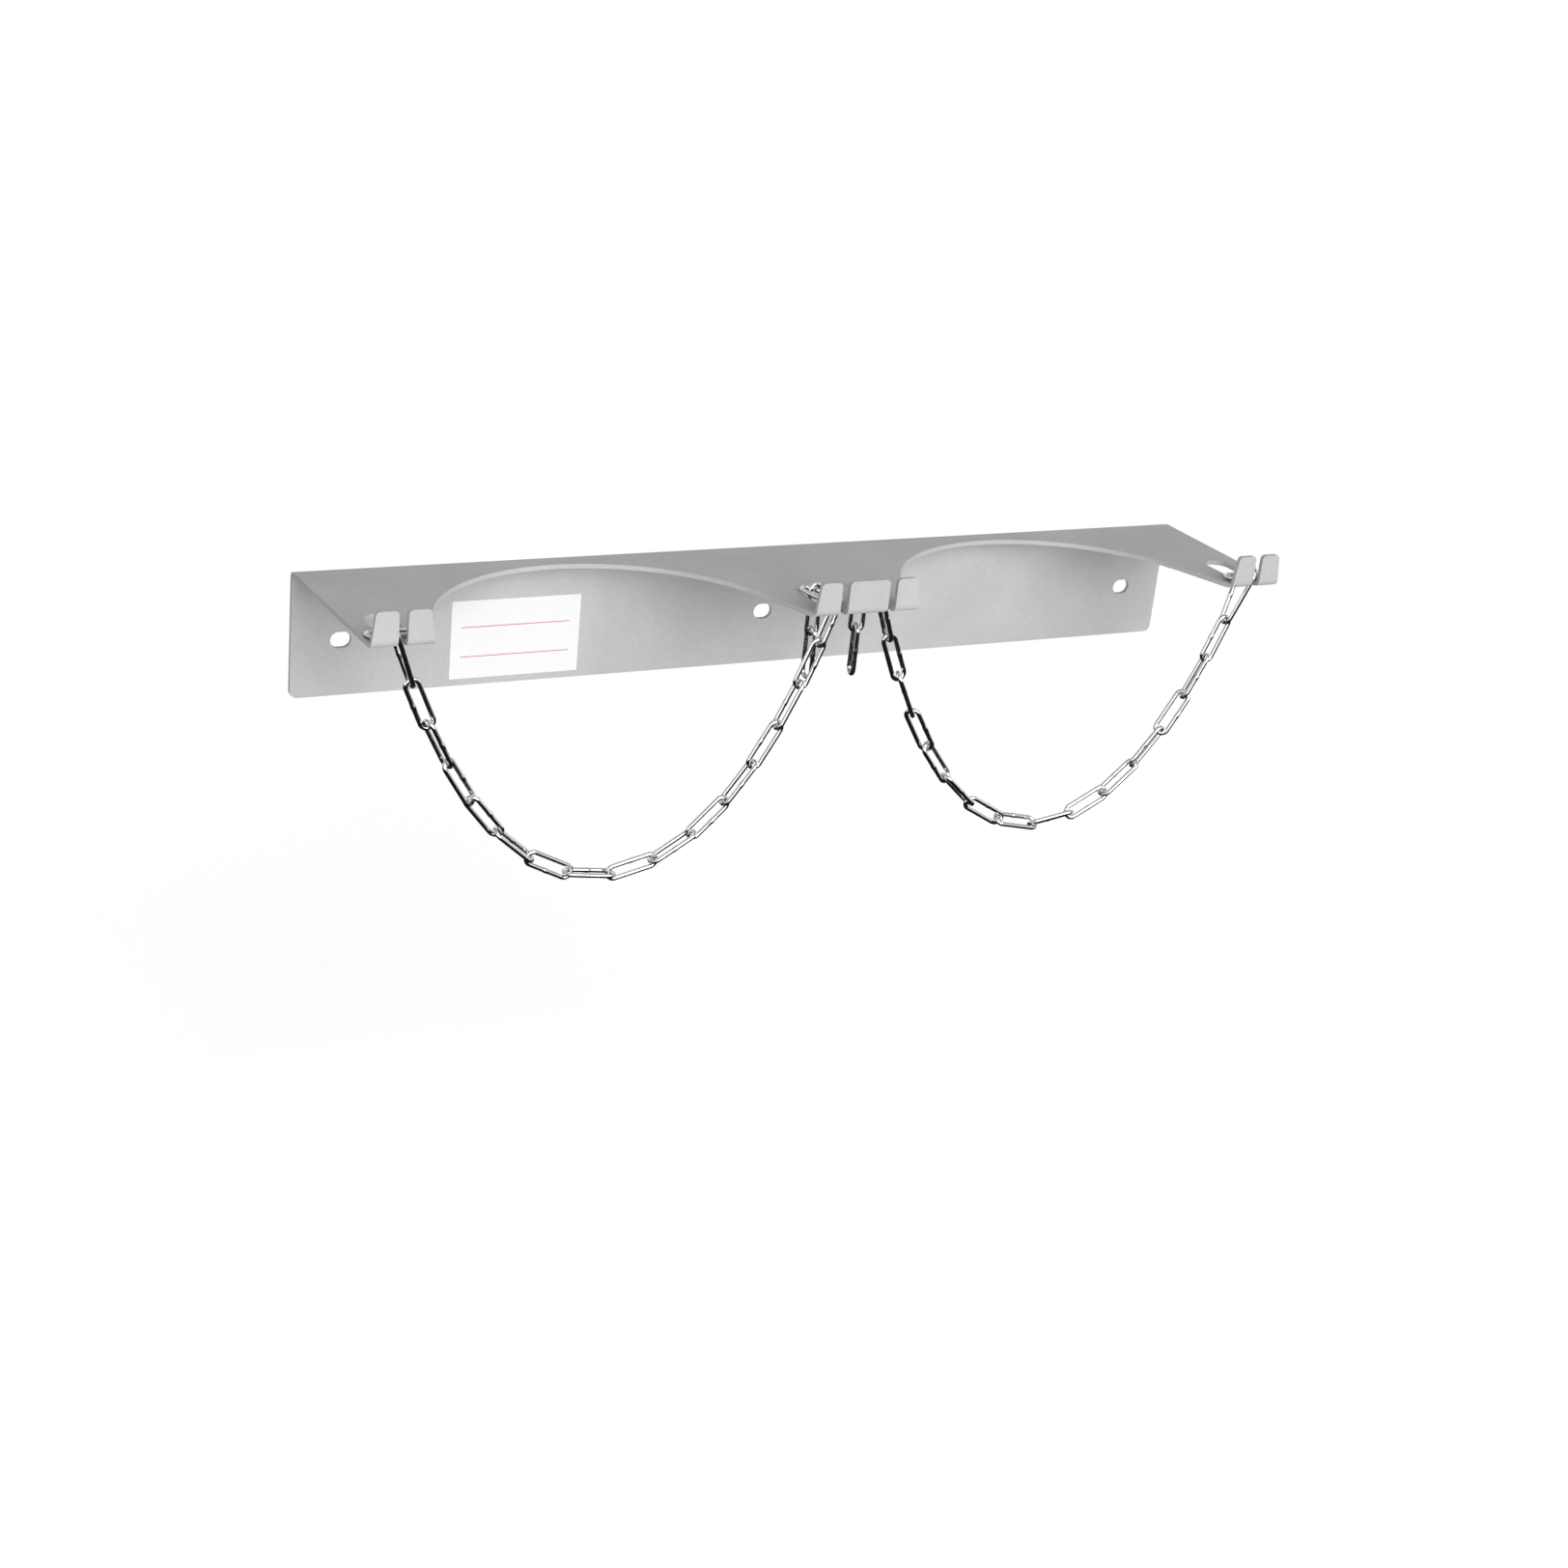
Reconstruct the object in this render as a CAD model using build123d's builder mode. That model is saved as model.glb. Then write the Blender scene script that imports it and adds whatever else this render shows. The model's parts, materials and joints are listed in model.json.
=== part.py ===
from build123d import *

import os
from math import asin, atan, cos, degrees, radians, sin

# Wall bracket for two gas cylinders. One steel sheet is folded twice: a back plate, a shelf
# with two round recesses that leaves three prongs, and upturned lips on the prongs. Each lip
# is slit down into a keyhole in the shelf, and a long-link chain hangs between two slits.
# Millimetres. X runs along the wall, +Y points into the wall, +Z is up. The origin is the
# centre of the row of wall slots, on the plate's back face.

# Folded sheet
sheet = 3.0
plate_length = 655.0
plate_height = 83.0  # shelf's top face down to the plate's bottom edge
reach = 140.5  # wall to the lips' front faces
lip_height = 19.5  # above the shelf's top face
bend_inner_radius = 2.0
plate_corner_radius = 5.0
tab_corner_radius = 3.0

# Wall slots, in one row
bolt_line_drop = 46.5  # below the shelf's top face
bolt_end_margin = 32.0  # plate's ends to the middles of the outer slots
bolt_slot_width = 10.5
bolt_slot_length = 13.5

# Prongs and cylinder recesses
recess_radius = 116.5
recess_depth = 122.5  # lips' front faces to the deepest point of the arc
recess_flare = 17.65  # degrees that each side opens towards the front
middle_prong_width = 73.5
outer_prong_width = 38.0
outer_prong_inset = 4.4  # lip corner, inward of the plate's end
lip_taper = 2.5  # each side, over the lip's height

# Keyholes
slit_width = 5.6
middle_slit_offset = 17.1  # from the bracket's centre
keyhole_width = 18.0
keyhole_length = 36.0
keyhole_setback = 16.0  # lips' front faces to the near end of the hole

# Chain
wire = 3.0
link_width = 11.5  # outside
link_inner_length = 30.2
joint_slack = 0.8  # play between two wires in a joint
stop_slack = 1.3  # the same where a swag hangs on its lying link
link_count = 16  # in each swag, with its end link
end_link_top_width = 19.0  # outside, of the pear-shaped end link
end_link_inner_length = 40.0
wire_faces = 10
arc_steps = 6  # straight facets round half a turn of wire

# Where the chains hang
hook_setback = 12.8  # lips' front faces to the hooking line
hook_outset = 1.2  # hooking point, outward of its slit's middle, for the leaning link
rest_gap = 0.1  # under a link that lies on the shelf
stop_link_skew = 10.0  # degrees that the middle prong's lying link turns off the slit
tail_slide = 27.0  # hooking line back to the tail
left_twist = (-90.0, 2, 7)  # degrees of turn in a swag, and its first and last turned link
right_twist = (270.0, 2, 15)

shelf_top = bolt_line_drop
shelf_bottom = shelf_top - sheet
lip_top = shelf_top + lip_height
plate_bottom = shelf_top - plate_height
bend_outer_radius = bend_inner_radius + sheet
clear_cut = 2.0  # how far a cutting form runs past the sheet
half_length = plate_length / 2
bolt_spacing = half_length - bolt_end_margin
outer_lip_end = half_length - outer_prong_inset
outer_slit_offset = outer_lip_end - outer_prong_width / 2
recess_mouth = outer_lip_end - outer_prong_width - middle_prong_width / 2
recess_offset = middle_prong_width / 2 + recess_mouth / 2
recess_centre_y = -reach + recess_depth - recess_radius
# Straight sides of a recess leave its arc at the flare angle and run past the lips' corners
side_x = recess_radius * cos(radians(recess_flare))
side_y = recess_radius * sin(radians(recess_flare))
lip_y = -reach - recess_centre_y
front_y = lip_y - clear_cut
front_x = side_x + (recess_mouth / 2 - side_x) * (side_y - front_y) / (side_y - lip_y)
hook_y = -reach + hook_setback
lying_z = shelf_top + rest_gap + wire / 2
wire_play = wire + joint_slack  # between the wire centres of a joint


with BuildPart() as bracket:
    # The sheet: one flat section swept along the folded side view
    with BuildLine(Plane.YZ):
        FilletPolyline(
            (-sheet / 2, plate_bottom),
            (-sheet / 2, shelf_top - sheet / 2),
            (-reach + sheet / 2, shelf_top - sheet / 2),
            (-reach + sheet / 2, lip_top),
            radius=bend_inner_radius + sheet / 2,
        )
    with BuildSketch(Plane.XY.offset(plate_bottom)):
        with Locations((0, -sheet / 2)):
            Rectangle(plate_length, sheet)
    sweep()

    # The two cylinder recesses, through shelf and lip
    recess_planes = [
        Plane((x, recess_centre_y, shelf_bottom - clear_cut)) for x in (-recess_offset, recess_offset)
    ]
    with BuildSketch(*recess_planes):
        with BuildLine():
            ThreePointArc((-side_x, side_y), (0, recess_radius), (side_x, side_y))
            Polyline((side_x, side_y), (front_x, front_y), (-front_x, front_y), (-side_x, side_y))
        make_face()
    extrude(amount=sheet + lip_height + 2 * clear_cut, mode=Mode.SUBTRACT)

    # The outer prongs narrow from the plate's ends to their lips
    with BuildSketch(Plane.XY.offset(shelf_bottom - clear_cut)):
        with BuildLine():
            Polyline(
                (half_length, -bend_outer_radius),
                (outer_lip_end, -reach),
                (outer_lip_end, -reach - clear_cut),
                (half_length + clear_cut, -reach - clear_cut),
                (half_length + clear_cut, -bend_outer_radius),
                close=True,
            )
        make_face()
        mirror(about=Plane.YZ)
    extrude(amount=sheet + lip_height + 2 * clear_cut, mode=Mode.SUBTRACT)

    # Each lip narrows towards its top edge
    with BuildSketch(Plane.XZ.offset(reach + clear_cut)):
        for edge_x, side in (
            (middle_prong_width / 2, 1),
            (outer_lip_end - outer_prong_width, -1),
            (outer_lip_end, 1),
        ):
            with BuildLine():
                Polyline(
                    (edge_x, shelf_top),
                    (edge_x - side * lip_taper, lip_top),
                    (edge_x - side * lip_taper, lip_top + clear_cut),
                    (edge_x + side * lip_taper, lip_top + clear_cut),
                    (edge_x + side * lip_taper, shelf_top),
                    close=True,
                )
            make_face()
        mirror(about=Plane.YZ)
    extrude(amount=-sheet - 2 * clear_cut, mode=Mode.SUBTRACT)

    # Keyholes: a round-ended hole in the shelf, and a slit from it through fold and lip
    slit_xs = [-outer_slit_offset, -middle_slit_offset, middle_slit_offset, outer_slit_offset]
    keyhole_y = -reach + keyhole_setback + keyhole_length / 2
    slit_depth = reach + keyhole_y + clear_cut
    with BuildSketch(Plane.XY.offset(shelf_bottom - clear_cut)):
        with Locations([(x, keyhole_y) for x in slit_xs]):
            SlotOverall(keyhole_length, keyhole_width, rotation=90)
        with Locations([(x, keyhole_y - slit_depth / 2) for x in slit_xs]):
            Rectangle(slit_width, slit_depth)
    extrude(amount=sheet + lip_height + 2 * clear_cut, mode=Mode.SUBTRACT)

    # Wall slots
    with BuildSketch(Plane.XZ.offset(-clear_cut)):
        with Locations((-bolt_spacing, 0), (0, 0), (bolt_spacing, 0)):
            SlotOverall(bolt_slot_length, bolt_slot_width)
    extrude(amount=sheet + 2 * clear_cut, mode=Mode.SUBTRACT)

    # Rounded corners of tabs and plate
    across = bracket.edges().filter_by(Axis.Y)
    fillet(across.group_by(Axis.Z)[-1], tab_corner_radius)
    fillet(across.group_by(Axis.Z)[0], plate_corner_radius)


def wire_path(top_width, inner_length):
    """Half of a link's centre line on its +Y side, from end to end, along X.

    The wide end is at -X. Its round and the narrow end's round meet one straight leg.
    """
    wide = (top_width - wire) / 2
    narrow = (link_width - wire) / 2
    half_span = (inner_length + wire) / 2
    wide_x = -half_span + wide
    narrow_x = half_span - narrow
    lean = (wide - narrow) / (narrow_x - wide_x)
    turn = degrees(asin(lean))
    points = []
    for step in range(arc_steps // 2 + 1):
        angle = radians(180 - (90 + turn) * step * 2 / arc_steps)
        points.append((wide_x + wide * cos(angle), wide * sin(angle)))
    for step in range(arc_steps // 2 + 1):
        angle = radians((90 - turn) * (1 - step * 2 / arc_steps))
        points.append((narrow_x + narrow * cos(angle), narrow * sin(angle)))
    return points


def make_link(top_width=link_width, inner_length=link_inner_length):
    """One welded link of round wire, flat in XY, its long axis along X."""
    side = wire_path(top_width, inner_length)
    ring = side + [(x, -y) for x, y in side[-2:0:-1]]
    middle = len(side) // 2
    ring = ring[middle:] + ring[:middle]
    start = (Vector(*ring[-1]) + Vector(*ring[0])) / 2
    with BuildPart() as link:
        with BuildLine() as path:
            Polyline(start, *ring, start)
        with BuildSketch(Plane(start, z_dir=path.line % 0, x_dir=(0, 0, 1))):
            RegularPolygon(wire / 2, wire_faces)
        sweep(transition=Transition.RIGHT)
    return link.part


os.makedirs("parts", exist_ok=True)
plain_link = make_link()
end_link = make_link(end_link_top_width, end_link_inner_length)
pitch = link_inner_length - joint_slack
link_half = (link_inner_length + wire) / 2  # centre to the wire of either end
leg_offset = (link_width - wire) / 2  # centre to the wire of either leg
# The end link turns about the middle of its wide round, where the toggle link passes
end_half = (end_link_inner_length + wire) / 2
end_centre = end_half - (end_link_top_width - wire) / 2
end_reach = end_centre + end_half - wire_play / 2
last_reach = pitch / 2 + link_half - wire - stop_slack


def bisect(rising, low, high, rounds=60):
    """Zero of a rising function between low and high."""
    for _ in range(rounds):
        middle = (low + high) / 2
        if rising(middle) < 0:
            low = middle
        else:
            high = middle
    return (low + high) / 2


def hanging_angles(pitches, span):
    """Lean of each link below the horizontal, in a chain hung from two points of one height.

    The tangent of each lean grows evenly with the weight from the lowest point.
    """
    middles = [sum(pitches[:n]) + pitches[n] / 2 for n in range(len(pitches))]

    def leans(pull, lowest):
        return [atan((lowest - middle) / pull) for middle in middles]

    def lowest_point(pull):
        def drop(lowest):
            return sum(p * sin(a) for p, a in zip(pitches, leans(pull, lowest)))

        return bisect(drop, 0, sum(pitches))

    def excess_span(pull):
        angles = leans(pull, lowest_point(pull))
        return sum(p * cos(a) for p, a in zip(pitches, angles)) - span

    pull = bisect(excess_span, 1, 10 * span)
    return leans(pull, lowest_point(pull))


def place(link, centre, along, across):
    """The link with its long axis along one direction and its width along another."""
    return Plane(centre, x_dir=along, z_dir=along.cross(across)).location * link


def hang_swag(side, turn, first, last):
    """Links of one swag, from the outer prong's slit to the middle prong's."""
    joint = Vector(side * (outer_slit_offset + hook_outset), hook_y, lying_z)
    lengths = [end_reach] + [pitch] * (link_count - 2) + [last_reach]
    span = outer_slit_offset - middle_slit_offset + 2 * hook_outset
    links = []
    for number, angle in enumerate(hanging_angles(lengths, span), start=1):
        along = Vector(-side * cos(angle), 0, -sin(angle))
        share = min(max((number - first) / (last - first), 0), 1)
        roll = radians(90 * (number - 1) + turn * share)
        across = Vector(0, cos(roll), 0) + along.cross(Vector(0, 1, 0)) * sin(roll)
        if number == 1:
            links.append(place(end_link, joint + along * end_centre, along, across))
        else:
            links.append(place(plain_link, joint + along * (pitch / 2), along, across))
        joint = joint + along * lengths[number - 1]
    return links


for name, side, twist in (("left", -1, left_twist), ("right", 1, right_twist)):
    swag = hang_swag(side, *twist)
    nodes = {f"{name}_link_{n:02d}": link for n, link in enumerate(swag, start=1)}

    # The toggle link lies across the outer prong's slit, inside the end link's wide round
    toggle_centre = Vector(side * (outer_slit_offset + hook_outset), hook_y, lying_z)
    nodes[f"{name}_toggle_link"] = place(plain_link, toggle_centre, Vector(1, 0, 0), Vector(0, 1, 0))

    # The stop link lies along the middle prong's slit, inside the last link of the swag
    skew = radians(stop_link_skew)
    back = Vector(side * sin(skew), cos(skew), 0)
    beside = Vector(cos(skew), -side * sin(skew), 0)
    hook = Vector(side * (middle_slit_offset - hook_outset), hook_y, lying_z)
    nodes[f"{name}_stop_link"] = place(plain_link, hook + back * link_half, back, beside)

    # The tail hangs through the hole from the stop link's inner leg
    tail_pivot = hook + back * tail_slide - beside * (side * leg_offset)
    down = Vector(0, 0, -1)
    upper = tail_pivot + down * (link_half - wire_play)
    nodes[f"{name}_tail_upper_link"] = place(plain_link, upper, down, beside)
    nodes[f"{name}_tail_lower_link"] = place(plain_link, upper + down * pitch, down, back)

    for label, shape in nodes.items():
        shape.label = label
        export_step(shape, f"parts/{label}.step")

bracket.part.label = "bracket"
export_step(bracket.part, "parts/bracket.step")
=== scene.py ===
"""Dresses the wall bracket and its chains: finishes, welded round links, a label, light and camera.

Metres, in the part's own frame: +X along the wall, +Y into the wall, +Z up. The origin is the
middle of the row of wall slots, on the plate's back face.
"""

import json

import bpy
import numpy as np
from mathutils import Matrix


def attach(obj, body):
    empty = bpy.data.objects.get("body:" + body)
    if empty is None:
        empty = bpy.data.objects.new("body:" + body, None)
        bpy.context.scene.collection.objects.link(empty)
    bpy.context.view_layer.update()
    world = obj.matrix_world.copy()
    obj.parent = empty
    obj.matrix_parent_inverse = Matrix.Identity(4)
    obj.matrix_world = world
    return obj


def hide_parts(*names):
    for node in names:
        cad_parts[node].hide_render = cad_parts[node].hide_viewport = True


MM = 0.001

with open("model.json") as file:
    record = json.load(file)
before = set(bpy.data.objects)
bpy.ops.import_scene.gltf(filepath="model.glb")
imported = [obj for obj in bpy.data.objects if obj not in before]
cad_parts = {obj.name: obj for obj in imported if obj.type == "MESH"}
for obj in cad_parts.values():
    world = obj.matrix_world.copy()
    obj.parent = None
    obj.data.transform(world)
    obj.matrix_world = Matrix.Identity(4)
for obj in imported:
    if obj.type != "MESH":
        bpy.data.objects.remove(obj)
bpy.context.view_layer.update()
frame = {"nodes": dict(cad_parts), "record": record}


# ---- Materials -------------------------------------------------------------------------------


class Number:
    """A number inside a material. Sums and products of it add the material's maths nodes."""

    def __init__(self, finish, socket):
        self.finish = finish
        self.socket = socket

    def work(self, operation, *values):
        node = self.finish.add("Math", {"operation": operation}, dict(enumerate(values)))
        return Number(self.finish, node.outputs[0])

    def __add__(self, other):
        return self.work("ADD", self, other)

    __radd__ = __add__

    def __mul__(self, other):
        return self.work("MULTIPLY", self, other)

    __rmul__ = __mul__

    def ramp(self, low, high):
        """0 below low, 1 above high, smooth between."""
        values = {"Value": self, "From Min": low, "From Max": high}
        settings = {"interpolation_type": "SMOOTHSTEP"}
        node = self.finish.add("MapRange", settings, values)
        return Number(self.finish, node.outputs[0])


# Sockets of a Mix node that blends colours, where several sockets share a name
MIX_SHARE, MIX_FIRST, MIX_SECOND, MIX_RESULT = 0, 6, 7, 2


class Finish:
    """A material, and the few kinds of node that its pattern is made of."""

    def __init__(self, name):
        self.material = bpy.data.materials.new(name)
        self.material.use_nodes = True
        self.tree = self.material.node_tree
        self.tree.nodes.clear()
        self.place = self.add("TexCoord").outputs["Object"]

    def add(self, kind, settings=None, sockets=None):
        """Makes any node from its type, its settings, and the values or links of its sockets."""
        node = self.tree.nodes.new("ShaderNode" + kind)
        for name, value in (settings or {}).items():
            setattr(node, name, value)
        for name, value in (sockets or {}).items():
            if isinstance(value, Number):
                value = value.socket
            if isinstance(value, bpy.types.NodeSocket):
                self.tree.links.new(value, node.inputs[name])
            else:
                node.inputs[name].default_value = value
        return node

    def noise(self, size, detail=2, roughness=0.5):
        """Noise from 0 to 1 with spots of about this size, in metres."""
        sockets = {
            "Vector": self.place,
            "Scale": 1 / size,
            "Detail": detail,
            "Roughness": roughness,
        }
        return Number(self, self.add("TexNoise", None, sockets).outputs["Fac"])

    def cells(self, size):
        """Distance to the nearest of scattered points, in cell widths."""
        sockets = {"Vector": self.place, "Scale": 1 / size}
        return Number(self, self.add("TexVoronoi", None, sockets).outputs["Distance"])

    def blend(self, share, first, second):
        """First colour where share is 0, second where it is 1."""
        sockets = {MIX_SHARE: share, MIX_FIRST: first, MIX_SECOND: second}
        return self.add("Mix", {"data_type": "RGBA"}, sockets).outputs[MIX_RESULT]

    def relief(self, height, depth):
        """Normal for a height from 0 to 1 that stands for this depth in metres."""
        sockets = {"Height": height, "Distance": depth, "Strength": 1.0}
        return self.add("Bump", None, sockets).outputs["Normal"]

    def close(self, **sockets):
        """Ends the material in one Principled shader."""
        names = {name.replace("_", " "): value for name, value in sockets.items()}
        shader = self.add("BsdfPrincipled", None, names)
        self.add("OutputMaterial", None, {"Surface": shader.outputs[0]})
        return self.material


def grey(level, tint=0.0):
    """A neutral colour, cooler for a positive tint."""
    return (level - tint, level, level + tint, 1)


def powder_coat():
    """Light grey powder coat: a fine pebbled skin with slow changes of tone."""
    coat = Finish("powder_coat_grey")
    pebble = coat.noise(0.9 * MM, detail=3)
    skin = coat.noise(4.0 * MM)
    cloud = coat.noise(70 * MM, detail=3)
    speck = coat.cells(1.6 * MM).ramp(0.10, 0.16)
    tone = cloud * 0.5 + pebble * 0.35 + skin * 0.15
    colour = coat.blend(tone.ramp(0.3, 0.7), grey(0.275, 0.002), grey(0.335, 0.002))
    colour = coat.blend(speck, grey(0.235), colour)
    return coat.close(
        Base_Color=colour,
        Roughness=0.46 + 0.14 * pebble,
        Normal=coat.relief(pebble * 0.7 + skin * 0.3, 0.11 * MM),
    )


def zinc():
    """Bright zinc plating on drawn wire: mirror-like, faintly clouded, with small dull spots."""
    plate = Finish("bright_zinc")
    cloud = plate.noise(3.0 * MM, detail=3)
    fine = plate.noise(0.5 * MM)
    dull = plate.noise(1.8 * MM, detail=4, roughness=0.65).ramp(0.60, 0.72)
    colour = plate.blend(cloud, grey(0.68, 0.004), grey(0.80, 0.004))
    colour = plate.blend(dull, colour, grey(0.47))
    return plate.close(
        Base_Color=colour,
        Metallic=1.0,
        Roughness=0.10 + 0.08 * cloud + 0.22 * dull,
        Normal=plate.relief(cloud * 0.7 + fine * 0.3, 0.05 * MM),
    )


def label_film(name, colour, worn):
    """Printed film: smooth, with faint ripples from the coat under it."""
    film = Finish(name)
    ripple = film.noise(6 * MM)
    grain = film.noise(0.6 * MM)
    return film.close(
        Base_Color=film.blend(grain.ramp(0.35, 0.75), colour, worn),
        Roughness=0.28 + 0.10 * ripple,
        Normal=film.relief(ripple * 0.8 + grain * 0.2, 0.04 * MM),
    )


# ---- Surfaces --------------------------------------------------------------------------------


def closed_grid(rows, columns):
    """Faces of a grid of points that joins up with itself both ways."""
    row, column = np.meshgrid(np.arange(rows), np.arange(columns), indexing="ij")
    next_row, next_column = (row + 1) % rows, (column + 1) % columns
    corners = ((row, column), (next_row, column), (next_row, next_column), (row, next_column))
    return np.stack([a * columns + b for a, b in corners], axis=-1).reshape(-1, 4).tolist()


def piece(name, points, faces, finish, smooth=True):
    """Makes an object from points, lists of their numbers for the faces, and a material."""
    mesh = bpy.data.meshes.new(name)
    mesh.from_pydata(points.reshape(-1, 3).tolist(), [], faces)
    if smooth:
        mesh.shade_smooth()
    else:
        mesh.shade_flat()
    mesh.materials.append(finish)
    made = bpy.data.objects.new(name, mesh)
    bpy.context.scene.collection.objects.link(made)
    return made


wire_radius = 1.5 * MM
link_width = 11.5 * MM  # outside
end_link_top_width = 19.0 * MM  # outside, of the pear-shaped end link
weld_swell = 0.16  # share that the weld bead adds to the wire's radius
weld_length = 1.5 * MM
round_steps = 26  # round each end of a link
leg_steps = 26
wire_steps = 18  # round the wire
no_weld = 1.0  # metres from a weld, for the leg that has none
alike = 1e-9  # a ring whose ends differ by less than this counts as even


def link_surface(wide, narrow, span):
    """Round wire carried round a closed link in XY, wide end at -X.

    Two end rounds of radius wide and narrow, span apart, are joined by straight legs that touch
    both. The wire swells in the middle of one leg, where it was butt welded.
    """
    lean = np.arcsin((wide - narrow) / span)
    low, high = -(np.pi / 2 - lean), np.pi / 2 - lean
    narrow_turn = np.linspace(low, high, round_steps)
    wide_turn = np.linspace(high, 2 * np.pi + low, round_steps)
    along_leg = np.linspace(0, 1, leg_steps + 2)[1:-1]
    turn = np.concatenate(
        [narrow_turn, np.full(leg_steps, high), wide_turn, np.full(leg_steps, low)]
    )
    narrow_share = np.concatenate(
        [np.ones(round_steps), 1 - along_leg, np.zeros(round_steps), along_leg]
    )
    outward = np.stack([np.cos(turn), np.sin(turn)], axis=-1)
    radius = narrow * narrow_share + wide * (1 - narrow_share)
    middle_x = span * (narrow_share - 0.5)
    line = outward * radius[:, None] + np.stack([middle_x, 0 * middle_x], axis=-1)
    # Both ends reach equally far from the middle
    line[:, 0] += (wide - narrow) / 2
    from_weld = np.where(line[:, 1] > 0, (narrow_share - 0.5) * span, no_weld)
    wire = wire_radius * (1 + weld_swell * np.exp(-((from_weld / weld_length) ** 2)))
    around = np.linspace(0, 2 * np.pi, wire_steps, endpoint=False)
    out = wire[:, None] * np.cos(around)
    up = wire[:, None] * np.sin(around)
    flat = line[:, None, :] + outward[:, None, :] * out[:, :, None]
    return np.concatenate([flat, up[:, :, None]], axis=-1)


def node_points(name):
    """Corner points of a CAD node, as rows of X, Y and Z."""
    mesh = frame["nodes"][name].data
    points = np.empty(len(mesh.vertices) * 3, np.float32)
    mesh.vertices.foreach_get("co", points)
    return points.reshape(-1, 3).astype(float)


def link_axes(name):
    """Middle, axes and lengths of a flat ring: its longest, middle and shortest directions."""
    points = node_points(name)
    spread = np.cov((points - points.mean(axis=0)).T)
    axes = np.linalg.eigh(spread)[1].T[::-1]
    local = (points - points.mean(axis=0)) @ axes.T
    # The wide end goes to -X of the link
    if (local[:, 0] * np.abs(local[:, 1])).sum() > alike:
        axes[0] *= -1
    if np.linalg.det(axes) < 0:
        axes[2] *= -1
    local = points @ axes.T
    middle = (local.min(axis=0) + local.max(axis=0)) / 2
    return middle @ axes, axes, np.ptp(local, axis=0)


coat = powder_coat()
zinc_plate = zinc()

bracket = frame["nodes"]["bracket"]
bracket.data.materials.clear()
bracket.data.materials.append(coat)

link_names = sorted(name for name in frame["nodes"] if "_link" in name)
body_of_node = {
    node: body for body, nodes in frame["record"]["behaviour"]["bodies"].items() for node in nodes
}
# Radius of the wire's middle line round each kind of end
narrow_round = link_width / 2 - wire_radius
wide_round = end_link_top_width / 2 - wire_radius
for name in link_names:
    middle, axes, size = link_axes(name)
    wide = wide_round if name.endswith("_link_01") else narrow_round
    span = size[0] - 2 * wire_radius - wide - narrow_round
    points = link_surface(wide, narrow_round, span) @ axes + middle
    faces = closed_grid(points.shape[0], points.shape[1])
    link = piece("round_" + name, points, faces, zinc_plate)
    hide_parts(name)
    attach(link, body_of_node[name])


# ---- Label -----------------------------------------------------------------------------------


corner_steps = 32  # points round the four corners of a film


def film_plate(name, low, high, back, thickness, corner, finish):
    """A thin upright film with rounded corners, whose back lies at this Y."""
    turn = np.linspace(0, 2 * np.pi, corner_steps, endpoint=False) + np.pi / corner_steps
    across, up = np.cos(turn), np.sin(turn)
    half = (np.array(high) - np.array(low)) / 2
    middle = (np.array(high) + np.array(low)) / 2
    x = middle[0] + np.sign(across) * (half[0] - corner) + corner * across
    z = middle[1] + np.sign(up) * (half[1] - corner) + corner * up
    front_ring = np.stack([x, np.full_like(x, back - thickness), z], axis=-1)
    back_ring = np.stack([x, np.full_like(x, back), z], axis=-1)
    step = np.arange(corner_steps)
    after = (step + 1) % corner_steps
    sides = np.stack([step, step + corner_steps, after + corner_steps, after], axis=-1)
    faces = sides.tolist() + [step.tolist(), (step[::-1] + corner_steps).tolist()]
    made = piece(name, np.concatenate([front_ring, back_ring]), faces, finish, smooth=False)
    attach(made, "mount")


plate_front = -3.0 * MM
label_low = (-223.0 * MM, -32.0 * MM)
label_high = (-134.5 * MM, 20.5 * MM)
label_thickness = 0.15 * MM
label_corner = 0.8 * MM
rule_heights = (0.66, 0.28)  # shares of the label's height
rule_inset = 7 * MM  # from the label's sides
rule_half_width = 0.3 * MM
rule_thickness = 0.03 * MM
rule_corner = 0.05 * MM

paper = label_film("label_white", (0.53, 0.53, 0.53, 1), (0.49, 0.49, 0.495, 1))
rule_red = label_film("label_rule_red", (0.44, 0.12, 0.12, 1), (0.40, 0.09, 0.09, 1))
film_plate("label", label_low, label_high, plate_front, label_thickness, label_corner, paper)
for number, height in enumerate(rule_heights, start=1):
    z = label_low[1] + height * (label_high[1] - label_low[1])
    film_plate(
        f"label_rule_{number}",
        (label_low[0] + rule_inset, z - rule_half_width),
        (label_high[0] - rule_inset, z + rule_half_width),
        plate_front - label_thickness,
        rule_thickness,
        rule_corner,
        rule_red,
    )


# ---- Floor, light and camera -----------------------------------------------------------------

floor_z = -0.50
floor_reach = 30.0
floor_finish = Finish("floor_pale")
floor_tone = floor_finish.noise(0.8)
floor_material = floor_finish.close(
    Base_Color=floor_finish.blend(floor_tone, grey(0.91), grey(0.95)),
    Roughness=0.75,
    Emission_Color=grey(1.0),
    Emission_Strength=0.08,
)
floor_signs = np.array([[-1, -1], [1, -1], [1, 1], [-1, 1]])
floor_corners = np.column_stack([floor_signs * floor_reach, np.full(4, floor_z)])
floor = piece("floor", floor_corners, [[0, 1, 2, 3]], floor_material, smooth=False)
# The bright wire doesn't mirror the floor, so that its lower side can go dark
floor.visible_glossy = False


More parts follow.
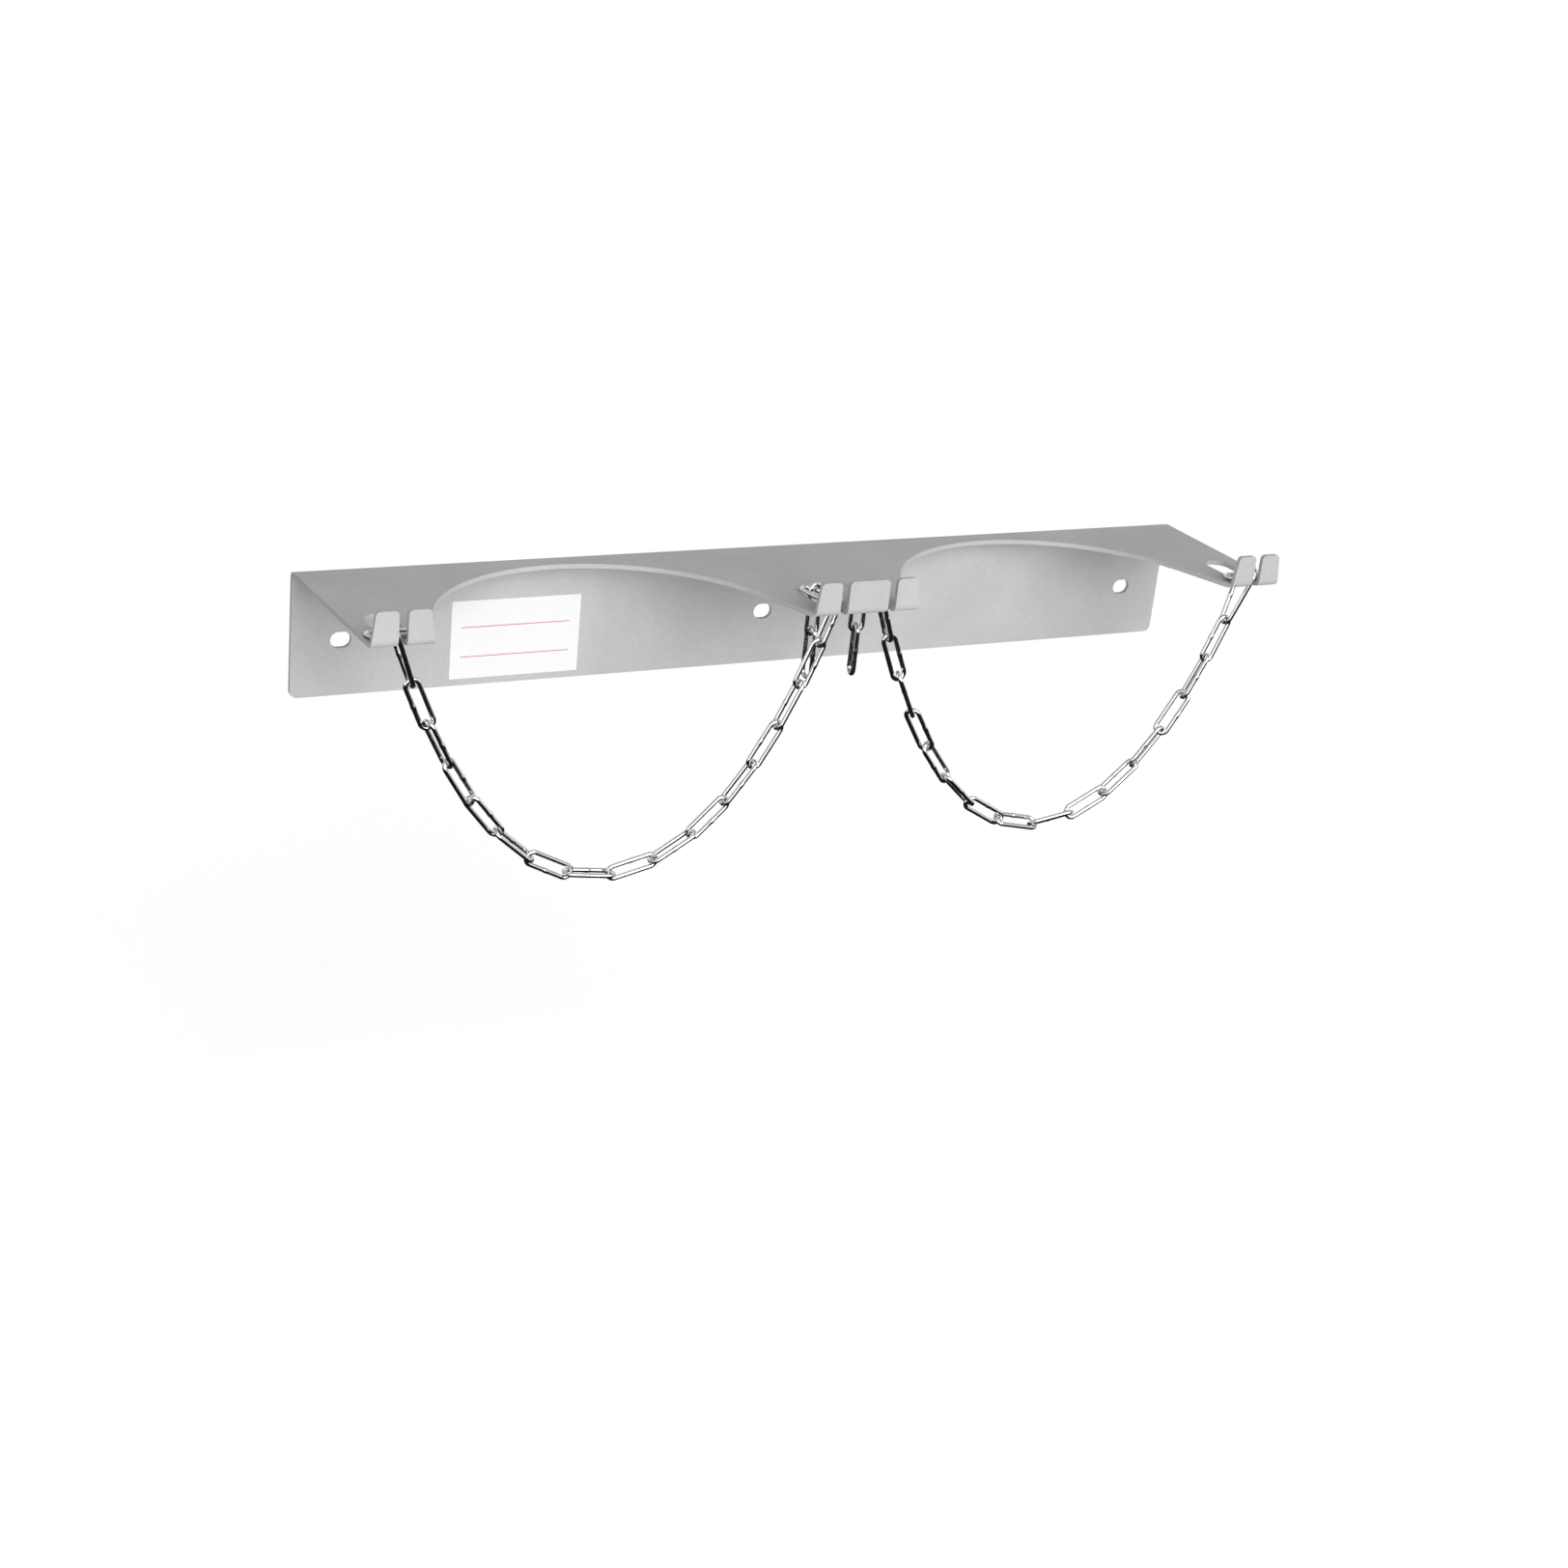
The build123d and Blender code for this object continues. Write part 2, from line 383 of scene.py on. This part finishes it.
def soft_light(name, place, target, size, power, mirrored=True):
    """A square lamp at a place, facing a target. The bright wire mirrors it or not."""
    lamp = bpy.data.lights.new(name, "AREA")
    lamp.shape = "SQUARE"
    lamp.size = size
    lamp.energy = power
    made = bpy.data.objects.new(name, lamp)
    away = np.array(place, float) - np.array(target, float)
    away /= np.linalg.norm(away)
    side = np.cross((0, 0, 1), away)
    side /= np.linalg.norm(side)
    turn = np.stack([side, np.cross(away, side), away], axis=-1)
    made.matrix_world = Matrix.Translation(place) @ Matrix(turn.tolist()).to_4x4()
    made.visible_camera = False
    made.visible_glossy = mirrored
    bpy.context.scene.collection.objects.link(made)


centre = (0.0, -0.07, 0.0)
soft_light("front_light", (-1.5, -2.0, 0.7), centre, size=1.4, power=6)
fill_place, fill_target = (-0.02, -0.8, -0.28), (-0.05, 0, 0)
soft_light("fill_light", fill_place, fill_target, size=0.4, power=1.7, mirrored=False)

sun_tilt, sun_turn = np.radians(60), np.radians(11)
sun = bpy.data.lights.new("sun", "SUN")
sun.energy = 2.9
sun.angle = np.radians(54)
sun_object = bpy.data.objects.new("sun", sun)
sun_object.rotation_euler = (sun_tilt, 0, sun_turn)
bpy.context.scene.collection.objects.link(sun_object)

# The room is white round the horizon, softer overhead and dark below, which the bright wire
# mirrors. Each stop is a height from -1 to 1 and the light there
room_lowest = -0.2
room_stops = ((-0.12, 0.01), (-0.01, 1.0), (0.22, 1.0), (0.62, 0.45))
world = bpy.data.worlds.new("room")
bpy.context.scene.world = world
world.use_nodes = True
nodes, links = world.node_tree.nodes, world.node_tree.links
height = nodes.new("ShaderNodeSeparateXYZ")
links.new(nodes.new("ShaderNodeTexCoord").outputs["Generated"], height.inputs[0])
level = nodes.new("ShaderNodeMapRange")
level.inputs["From Min"].default_value = room_lowest
links.new(height.outputs["Z"], level.inputs["Value"])
ramp = nodes.new("ShaderNodeValToRGB")
stops = ramp.color_ramp.elements
for number, (up, light) in enumerate(room_stops):
    stop = stops[0] if number == 0 else stops.new(0.5)
    stop.position = (up - room_lowest) / (1 - room_lowest)
    stop.color = (light, light, light, 1)
# The ramp's own last stop isn't wanted
stops.remove(stops[-1])
links.new(level.outputs[0], ramp.inputs[0])
links.new(ramp.outputs[0], nodes["Background"].inputs["Color"])
nodes["Background"].inputs["Strength"].default_value = 1.0

camera_place = (-0.7556, -1.3901, 0.5148)
camera_right = (0.884486, -0.456427, 0.096742)
camera_up = (0.093142, 0.375909, 0.921963)
camera_back = (-0.457175, -0.806453, 0.374999)
lens = bpy.data.cameras.new("camera")
lens.sensor_width = 36.0  # millimetres, as the next one
lens.lens = 56.14
camera = bpy.data.objects.new("camera", lens)
turn = Matrix((camera_right, camera_up, camera_back)).transposed()
camera.matrix_world = Matrix.Translation(camera_place) @ turn.to_4x4()
bpy.context.scene.collection.objects.link(camera)
bpy.context.scene.camera = camera
bpy.context.scene.view_settings.view_transform = "Standard"
